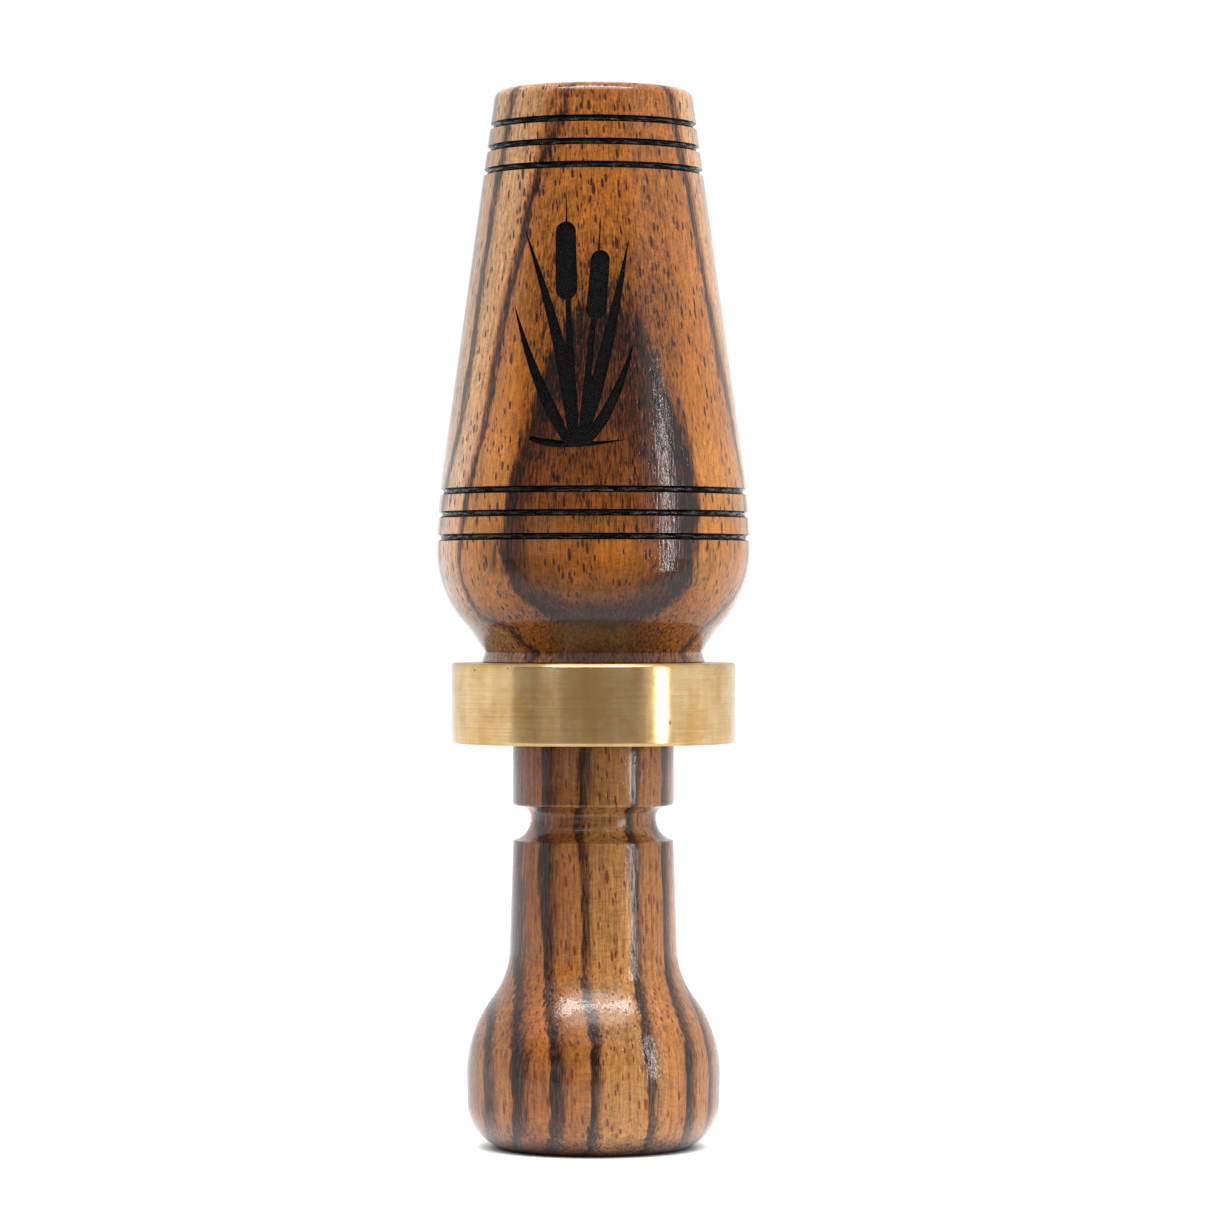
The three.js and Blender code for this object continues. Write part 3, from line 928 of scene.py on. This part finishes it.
def barrel_body():
    """Vertices, faces and the index of each face's material: 0 wood, 1 burned line, 2 engraving."""
    outline, first_row, rows = barrel_outline()
    count = len(outline)
    vertices, faces = turned_body(outline, BARREL_SEGMENTS)
    columns = range(MOTIF_COLUMNS[0], MOTIF_COLUMNS[1])
    replaced = {
        (k % BARREL_SEGMENTS) * count + first_row + i for k in columns for i in range(rows)
    }
    # A turned face starts at its own column's point i, so that point names the face.
    kept, kinds = [], []
    for index, face in enumerate(faces):
        if index in replaced:
            continue
        kept.append(face)
        kinds.append(1 if in_groove([vertices[i] for i in face]) else 0)

    def grid(column, row):
        return (column % BARREL_SEGMENTS) * count + first_row + row

    left, right = MOTIF_COLUMNS
    loop = [(c, 0) for c in range(left, right)] + [(right, r) for r in range(rows)]
    loop += [(c, rows) for c in range(right, left, -1)] + [(left, r) for r in range(rows, 0, -1)]
    border = [(c * MOTIF_PITCH, MOTIF_ROWS[0] + r * ROW_STEP) for c, r in loop]
    points, edges, outlines = motif_points(border)
    flat, _, triangles, origins, _, _ = delaunay_2d_cdt(points, edges, [], 1, 1e-5)

    top = []
    for point, origin in zip(flat, origins):
        at_border = [i for i in origin if i < len(loop)]
        if at_border:
            top.append(grid(*loop[at_border[0]]))
        else:
            top.append(len(vertices))
            vertices.append(on_front(point.x, point.y))
    cut_rim, bottom = {}, {}
    for triangle in triangles:
        middle = sum((flat[i] for i in triangle), Vector((0, 0))) / 3
        engraved = any(inside(middle, leaf) for leaf in outlines)
        a, b, c = triangle
        if engraved:
            for i in triangle:
                if i not in bottom:
                    bottom[i] = len(vertices)
                    sink = WALL_DEPTH + 0.03 * noise.noise(Vector((flat[i].x, flat[i].y, 0)) * 1.7)
                    vertices.append(on_front(flat[i].x, flat[i].y, sink))
            kept.append(tuple(bottom[i] for i in triangle))
            kinds.append(2)
        else:
            kept.append(tuple(top[i] for i in triangle))
            kinds.append(0)
        for i, j in ((a, b), (b, c), (c, a)):
            cut_rim.setdefault(frozenset((i, j)), []).append((engraved, i, j))
    for sides in cut_rim.values():
        engraved_sides = [side for side in sides if side[0]]
        if len(sides) == 2 and len(engraved_sides) == 1:
            _, i, j = engraved_sides[0]
            kept.append((bottom[j], bottom[i], top[i], top[j]))
            kinds.append(2)
    return vertices, kept, kinds


def in_groove(corners):
    """Whether a turned face lies in a burned line."""
    middle = sum((Vector(c) for c in corners), Vector()) / len(corners)
    radius = middle.xy.length
    if not any(abs(middle.z - z) < GROOVE_WIDTH / 2 for z in GROOVES):
        return False
    return BORE_R + 1 < radius < barrel_radius(middle.z) - 0.01


def add_barrel():
    vertices, faces, kinds = barrel_body()
    mesh = new_mesh("barrel_turned", vertices, faces)
    mesh.polygons.foreach_set("material_index", kinds)
    smooth(mesh)
    made = new_object("barrel_turned", mesh)
    materials = [barrel_wood(), burned_line(), engraving_char()]
    return finish_piece(made, "barrel", ["barrel"], "barrel_wood", materials)


# ---- Turned pieces ----
def add_turned(name, outline, segments, body, node, slot, material):
    vertices, faces = turned_body(outline, segments)
    mesh = new_mesh(name, vertices, faces)
    smooth(mesh)
    return finish_piece(new_object(name, mesh), body, [node], slot, [material])


def band_outline():
    low, high = band_low.z, band_high.z
    outline = [(TENON_R + 0.05, low), (TENON_R + 0.4, low), (14.4, low)]
    outline += arc(BAND_R - BAND_ROUND, low + BAND_ROUND, BAND_ROUND, -90, 0, 8)
    outline += [(BAND_R, low + BAND_ROUND + i) for i in range(1, 9)]
    outline += arc(BAND_R - BAND_ROUND, high - BAND_ROUND, BAND_ROUND, 0, 90, 8)
    outline += [(14.4, high), (TENON_R + 0.05, high)]
    return outline


def insert_outline():
    cove_r, cove_z, cove = WAIST_COVE
    foot_r, foot_z, foot = FOOT_ROUND
    foot_start = math.degrees(math.asin(-foot_z / foot))
    slope = math.radians(SHOULDER_DEGREES)
    exhaust = ((EXHAUST_R, EXHAUST_FLARE_Z), EXHAUST_CURVE, (EXHAUST_MOUTH_R, 0.0))
    outline = bezier(exhaust, 16)[:-1] + [(EXHAUST_MOUTH_R - 0.08, 0.12), (EXHAUST_MOUTH_R + 0.08, 0.0)]
    outline += arc(foot_r, foot_z, foot, foot_start, FOOT_ROUND_END, 24)
    shoulder = arc(BULB_R - SHOULDER_R, BULB_Z, SHOULDER_R, 0, SHOULDER_DEGREES, 22)
    hollow_r = STEM_FOOT_R + STEM_COVE_R * (1 - math.cos(slope))
    hollow_z = shoulder[-1][1] + (shoulder[-1][0] - hollow_r) / math.tan(slope)
    hollow_z += STEM_COVE_R * math.sin(slope)
    outline += shoulder
    outline += arc(STEM_FOOT_R + STEM_COVE_R, hollow_z, STEM_COVE_R, 180 + SHOULDER_DEGREES, 180, 20)
    outline += arc(STEM_TOP_R - 0.12, STEM_TOP - 0.12, 0.12, 0, 90, 4)
    outline += arc(cove_r, cove_z, cove, WAIST_COVE_START, 180, 18)
    outline += bezier(((WAIST_R, WAIST_TOP), WAIST_FLARE_CURVE, (COLLAR_R - 0.45, COLLAR_BOTTOM)), 10)
    outline += arc(COLLAR_R - 0.4, COLLAR_BOTTOM + 0.4, 0.4, -90, 0, 6)
    outline += arc(COLLAR_R - 0.2, INSERT_TOP - 0.2, 0.2, 0, 90, 4)
    outline += [(SOCKET_R, INSERT_TOP), (SOCKET_R, SOCKET_FLOOR), (EXHAUST_R, SOCKET_FLOOR)]
    return outline


def o_ring_outline(node):
    """A round section with the thin mould line round its outside."""
    low, high = box_mm(node)
    centre_r = O_RING_OUTER_R - O_RING_R
    outline = []
    for r, z in arc(0, 0, 1, 0, 345, 23):
        flash = 1.03 if abs(z) < 0.1 else 1.0
        outline.append((centre_r + O_RING_R * flash * r, (low.z + high.z) / 2 + O_RING_R * z))
    return outline


# ---- Tone board ----
def board_face(z):
    """Y of the tone board's face: flat under the wedge, then falling away to the tip."""
    along = max(0.0, z - CLAMP_Z)
    length = BOARD_TIP - CLAMP_Z
    bend = (BOARD_TIP_DROP - BOARD_SLOPE * length) / length ** 2
    return BOARD_FACE_Y + BOARD_SLOPE * along + bend * along * along


def prism(profile, half_width):
    """A closed (z, y) outline extruded across X."""
    count = len(profile)
    vertices = [(x, y, z) for x in (-half_width, half_width) for z, y in profile]
    faces = [tuple(range(count)), tuple(range(2 * count - 1, count - 1, -1))]
    faces += [(i, (i + 1) % count, (i + 1) % count + count, i + count) for i in range(count)]
    return vertices, facing_out(vertices, faces)


def shaped(base, modifiers):
    """The base object's mesh with these modifiers applied. Each is its kind and settings."""
    for kind, settings in modifiers:
        modifier = base.modifiers.new(kind, kind)
        for key, value in settings.items():
            setattr(modifier, key, value)
    bpy.context.view_layer.update()
    graph = bpy.context.evaluated_depsgraph_get()
    return bpy.data.meshes.new_from_object(base.evaluated_get(graph))


def add_tone_board():
    grooves = []
    for node in ("o_ring_lower", "o_ring_upper"):
        low, high = box_mm(node)
        z = (low.z + high.z) / 2
        foot, top = z - O_RING_GROOVE_HALF, z + O_RING_GROOVE_HALF
        grooves += [(SHANK_R, foot), (O_RING_GROOVE_R, foot), (O_RING_GROOVE_R, top), (SHANK_R, top)]
    shank_bottom = INSERT_TOP + 0.05
    outline = [(BOARD_STEM_R - 0.4, board_low.z), (BOARD_STEM_R, board_low.z + 0.4)]
    outline += [(BOARD_STEM_R, shank_bottom), (SHANK_R, shank_bottom)]
    outline = rounded(outline + grooves, 0.2) + [(SHANK_R, BOARD_TIP - 0.6), (SHANK_R - 0.6, BOARD_TIP)]
    ring_points = outline + [(0.02, BOARD_TIP), (0.02, board_low.z)]
    blank = new_object("tone_board_blank", new_mesh("blank", *turned_body(ring_points, 128), scale=1.0))
    clear = SHANK_R + 3
    steps = 24
    face = [(CLAMP_Z + (BOARD_TIP + 1 - CLAMP_Z) * i / steps) for i in range(steps + 1)]
    profile = [(SHANK_TOP, -clear), (BOARD_TIP + 1, -clear)]
    profile += [(z, board_face(z)) for z in reversed(face)] + [(SHANK_TOP, BOARD_FACE_Y)]
    over = new_object("tone_board_over", new_mesh("over", *prism(profile, clear), scale=1.0))
    channel = [(0.0001, board_low.z - 1), (TONE_CHANNEL_R, board_low.z - 1)]
    channel += arc(0, TONE_CHANNEL_END - TONE_CHANNEL_R, TONE_CHANNEL_R, 0, 89.9, 12)
    drill = new_object("tone_board_drill", new_mesh("drill", *turned_body(channel, 96), scale=1.0))
    cuts = [("BOOLEAN", {"object": tool, "operation": "DIFFERENCE", "solver": "EXACT"})
            for tool in (over, drill)]
    bevel = ("BEVEL", {"width": 0.14, "segments": 2, "limit_method": "ANGLE",
                       "angle_limit": math.radians(40), "use_clamp_overlap": True})
    mesh = shaped(blank, cuts + [bevel])
    for tool in (blank, over, drill):
        bpy.data.objects.remove(tool)
    mesh.transform(Matrix.Scale(MM, 4))
    smooth(mesh, 28)
    made = new_object("tone_board_moulded", mesh)
    return finish_piece(made, "insert", ["tone_board"], "tone_board_acetal", [acetal()])


# ---- Reeds ----
def add_reed(which, dimple):
    """One strip of film with clipped tip corners, which bends between its clamped heel and its blade."""
    heel_low, heel_high = box_mm(f"{which}_reed_heel")
    _, blade_high = box_mm(f"{which}_reed_blade")
    half, top, foot = blade_high.x, blade_high.z, heel_low.z
    inner, outer = heel_high.y, heel_low.y
    columns, rows = 28, 96
    vertices, faces = [], []
    for layer in (inner, outer):
        away = 1 if layer == outer else 0
        for r in range(rows + 1):
            z = foot + (top - foot) * r / rows
            clip = max(0.0, z - (top - REED_CLIP))
            heel = max(0.0, foot + 0.8 - z)
            reach = half - REED_CLIP * (1 - math.sqrt(max(0.0, 1 - (clip / REED_CLIP) ** 1.6))) - heel * 0.6
            for c in range(columns + 1):
                x = reach * (2 * c / columns - 1)
                lift = dimple * math.exp(-((x / 0.9) ** 2 + ((z - top + 15) / 0.9) ** 2))
                vertices.append((x, layer - lift * (0.8 + 0.2 * away), z))
    row, sheet = columns + 1, (columns + 1) * (rows + 1)
    for r in range(rows):
        for c in range(columns):
            a = r * row + c
            faces.append((a, a + 1, a + 1 + row, a + row))
            faces.append((sheet + a, sheet + a + row, sheet + a + 1 + row, sheet + a + 1))
    rim = [r * row for r in range(rows)] + [rows * row + c for c in range(columns)]
    rim += [r * row + columns for r in range(rows, 0, -1)] + [c for c in range(columns, 0, -1)]
    for a, b in zip(rim, rim[1:] + rim[:1]):
        faces.append((a, b, b + sheet, a + sheet))
    mesh = new_mesh(f"{which}_reed_strip", vertices, facing_out(vertices, faces))
    smooth(mesh)
    made = new_object(f"{which}_reed_strip", mesh)
    nodes = [f"{which}_reed_heel", f"{which}_reed_blade"]
    finish_piece(made, None, nodes, "reed_film", [REED_FILM])
    y = (inner + outer) / 2 * MM
    start, end = (0, y, (CLAMP_Z - 1) * MM), (0, y, (CLAMP_Z + 5) * MM)
    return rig.blend(made, "insert", f"{which}_reed", start=start, end=end)


# ---- Wedge ----
def add_wedge():
    """The cork wedge: a cut block with a round back, a slanted front and a granular skin."""
    half, bed, back = wedge_high.x, wedge_high.y, wedge_low.z
    turn = math.degrees(math.asin(half / WEDGE_TOP_R))
    round_back = arc(0, 0, WEDGE_TOP_R, -90 + turn, -90 - turn, 40)
    section = rounded([(-half, bed), (half, bed)] + round_back, 0.35, 4)
    section = spaced(section, 0.22)
    middle = Vector((0, (bed - WEDGE_TOP_R) / 2))
    front_bottom, front_top = wedge_high.z, wedge_high.z - WEDGE_SLANT
    count, slices, rings = len(section), 44, 14
    vertices, faces = [], []

    def layer(t, scale):
        first = len(vertices)
        for x, y in section:
            px, py = x * scale, middle.y + (y - middle.y) * scale
            slope = (py - bed) / (-WEDGE_TOP_R - bed)
            front = front_bottom + (front_top - front_bottom) * slope
            vertices.append((px, py, back + (front - back) * t))
        return first

    shells = [layer(0, i / rings) for i in range(1, rings)]
    shells += [layer(0.006, 0.99)]
    shells += [layer(i / slices, 1) for i in range(1, slices)]
    shells += [layer(0.994, 0.99)]
    shells += [layer(1, i / rings) for i in range(rings - 1, 0, -1)]
    for a, b in zip(shells, shells[1:]):
        for i in range(count):
            j = (i + 1) % count
            faces.append((a + i, a + j, b + j, b + i))
    faces += [tuple(shells[0] + i for i in reversed(range(count)))]
    faces += [tuple(shells[-1] + i for i in range(count))]
    faces = facing_out(vertices, faces)
    skinned = []
    for x, y, z in vertices:
        at = Vector((x, y, z))
        granule = noise.noise(at * 1.6) + 0.5 * noise.noise(at * 4.0)
        inward = (Vector((0, middle.y, (back + front_top) / 2)) - at).normalized()
        skinned.append(tuple(at + inward * (0.09 + 0.11 * granule)))
    mesh = new_mesh("wedge_cork", skinned, faces)
    smooth(mesh, 50)
    made = new_object("wedge_cork", mesh)
    return finish_piece(made, "insert", ["reed_wedge"], "wedge_cork", [cork()])


# ---- Stage ----
CAMERA = (0.0016, -0.588, 0.0635)
LENS = 148.2
STRIP_BEARING = 55  # degrees right of the call's front
STRIP_DISTANCE = 0.22
STRIP_Z = 0.074
STRIP_HEIGHT = 0.145
STRIP_PARTS = (("core", 0.0056, 44), ("edge", 0.0105, 6), ("fringe", 0.034, 0.9))  # width, radiance
OVERHEAD_TARGET = (0, 0, 0.06)
OVERHEADS = (  # centre, width, height and radiance
    ("overhead", (0.02, -0.20, 0.56), 0.62, 0.09, 20),
    ("overhead_dim", (0.03, -0.32, 0.51), 0.56, 0.15, 5),
)
CARD_DISTANCE = 0.7
CARD_FADE_TOP = 0.20
CARD_FADE_BOTTOM = 0.12
FRONT_CARDS = (  # level above and at the foot, and bearings in degrees
    ("card_dark", 0.13, 0.43, -27, 40),
    ("card_grey", 0.15, 0.55, -68, -42),
    ("card_between", 0.15, 1.0, -42, -27),
)
FLOOR_CARD_START = 0.085
FLOOR_CARD_FADE = 0.26
FLOOR_CARD_WIDTH = 1.2
FLOOR_CARD_LEVEL = 0.2
FLOOR_CARD_NEAR_LEVEL = 0.7
CARD_HEIGHT = 0.45


def panel(name, centre, right, up, width, height):
    """A flat four-sided mesh. right and up are its two directions."""
    middle = Vector(centre)
    side = Vector(right).normalized() * width / 2
    rise = Vector(up).normalized() * height / 2
    corners = [middle - side - rise, middle + side - rise, middle + side + rise, middle - side + rise]
    return new_object(name, new_mesh(name, corners, [(0, 1, 2, 3)], scale=1.0))


def add_floor():
    """A plain pale floor, which glows a little so that it meets the white backdrop.

    It glows more where the lying card shades it. Under the call's foot it is darker, a painted contact shadow, and
    just round the foot it glows, painted light that keeps that shadow tight."""
    made = panel("floor", (0, 0, -0.00003), (1, 0, 0), (0, 1, 0), 8, 8)
    s = Shader("floor")
    x, y, z = s.split(s.at)
    away = s.math("SQRT", s.add(s.times(x, x), s.times(y, y)))
    # Painted contact shadow: the floor is dark (0.25) within 11 mm of the axis, under the call's foot, and pale beyond
    # 12.5 mm.
    pale = s.ramp(s.times(away, 0.02), [(0.22, 0.25), (0.25, 0.9), (1.0, 0.42)])
    under = s.times(
        s.math("LESS_THAN", y, -FLOOR_CARD_START / MM),
        s.math("GREATER_THAN", y, -CARD_DISTANCE / MM),
        s.math("LESS_THAN", s.math("ABSOLUTE", x), FLOOR_CARD_WIDTH / 2 / MM),
    )
    # Painted light: the glow from 10.6 to 15.2 mm round the axis lifts the call's shadow next to its foot.
    glow = s.add(
        s.times(s.step(away, 10.6, 15.2), 0.45),
        s.times(s.step(away, 60.0, 400.0), 0.35),
        s.times(under, 0.7),
    )
    material = s.surface(
        Base_Color=pale,
        Roughness=0.8,
        Specular_IOR_Level=0.1,
        Emission_Color=(1, 1, 1, 1),
        Emission_Strength=glow,
    )
    made.data.materials.append(material)
    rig.stage(made)


def add_card(name, level, centre, right, up, width, height, fade):
    """A dim card that the camera doesn't see, which darkens the call's front and its reflections.

    fade is an axis, two places along it and a level, which replaces level at the second place."""
    made = panel(name, centre, right, up, width, height)
    s = Shader(name)
    axis, start, end, end_level = fade
    share = s.step(s.split(s.at)[axis], start / MM, end / MM)
    strength = s.scaled(share, end_level - level, level)
    glow = s.node("ShaderNodeEmission", {0: (1.0, 0.97, 0.92, 1.0), 1: strength}).outputs[0]
    s.node("ShaderNodeOutputMaterial", {"Surface": glow})
    made.data.materials.append(s.material)
    made.visible_camera = False
    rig.stage(made)


def add_front_card(name, level, bearing_from, bearing_to, fade):
    """A card that stands before the call, between two bearings in degrees right of its front."""
    middle = math.radians((bearing_from + bearing_to) / 2)
    half = math.radians((bearing_to - bearing_from) / 2)
    out = Vector((math.sin(middle), -math.cos(middle), 0))
    across = Vector((math.cos(middle), math.sin(middle), 0))
    width = 2 * CARD_DISTANCE * math.tan(half)
    centre = out * CARD_DISTANCE + Vector((0, 0, CARD_HEIGHT / 2))
    add_card(name, level, centre, across, (0, 0, 1), width, CARD_HEIGHT, fade)


def add_area_light(name, centre, target, width, height, radiance):
    """A rectangle of light aimed at a target, whose radiance is in units of the white background's."""
    data = bpy.data.lights.new(name, "AREA")
    data.shape = "RECTANGLE"
    data.size, data.size_y = width, height
    data.energy = radiance * math.pi * width * height
    made = new_object(name, data)
    made.location = centre
    made.rotation_euler = (Vector(target) - Vector(centre)).to_track_quat("-Z", "Y").to_euler()
    made.visible_camera = False
    return made


def add_studio():
    scene = bpy.context.scene
    world = bpy.data.worlds.new("studio")
    world.use_nodes = True
    world.node_tree.nodes["Background"].inputs[0].default_value = (1, 1, 1, 1)
    world.node_tree.nodes["Background"].inputs[1].default_value = 1.0
    scene.world = world
    scene.view_settings.view_transform = "Standard"
    bearing = math.radians(STRIP_BEARING)
    strip_at = (STRIP_DISTANCE * math.sin(bearing), -STRIP_DISTANCE * math.cos(bearing), STRIP_Z)
    for part, width, radiance in STRIP_PARTS:
        add_area_light(f"strip_{part}", strip_at, (0, 0, STRIP_Z), width, STRIP_HEIGHT, radiance)
    for name, centre, width, height, radiance in OVERHEADS:
        add_area_light(name, centre, OVERHEAD_TARGET, width, height, radiance)
    for name, level, foot_level, bearing_from, bearing_to in FRONT_CARDS:
        fade = (2, CARD_FADE_TOP, CARD_FADE_BOTTOM, foot_level)
        add_front_card(name, level, bearing_from, bearing_to, fade)
    lying = ((0, -(CARD_DISTANCE + FLOOR_CARD_START) / 2, 0.0005), (1, 0, 0), (0, 1, 0))
    fade = (1, -FLOOR_CARD_FADE, -FLOOR_CARD_START, FLOOR_CARD_NEAR_LEVEL)
    length = CARD_DISTANCE - FLOOR_CARD_START
    add_card("card_lying", FLOOR_CARD_LEVEL, *lying, FLOOR_CARD_WIDTH, length, fade)
    data = bpy.data.cameras.new("camera")
    data.lens = LENS
    data.sensor_width = 36
    data.clip_start = 0.01
    camera = new_object("camera", data)
    camera.location = CAMERA
    camera.rotation_euler = (math.radians(90), 0, 0)
    scene.camera = camera


# ---- The call ----
REED_FILM = film()
add_barrel()
add_turned("band_ring", band_outline(), 256, "barrel", "band", "band_brass", brass())
add_turned("insert_turned", insert_outline(), 256, "insert", "insert_body", "insert_wood", insert_wood())
RUBBER = rubber()
for node in ("o_ring_lower", "o_ring_upper"):
    add_turned(f"{node}_moulded", o_ring_outline(node), 128, "seals", node, "seal_rubber", RUBBER)
add_tone_board()
add_reed("lower", 0.0)
add_reed("upper", 0.12)
add_wedge()
add_floor()
add_studio()

visual_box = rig.bounds()
with open("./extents.json", "w") as sizes:
    boxes = {"cad": [list(c) for c in cad_box], "visual": [list(c) for c in visual_box]}
    json.dump(boxes, sizes)
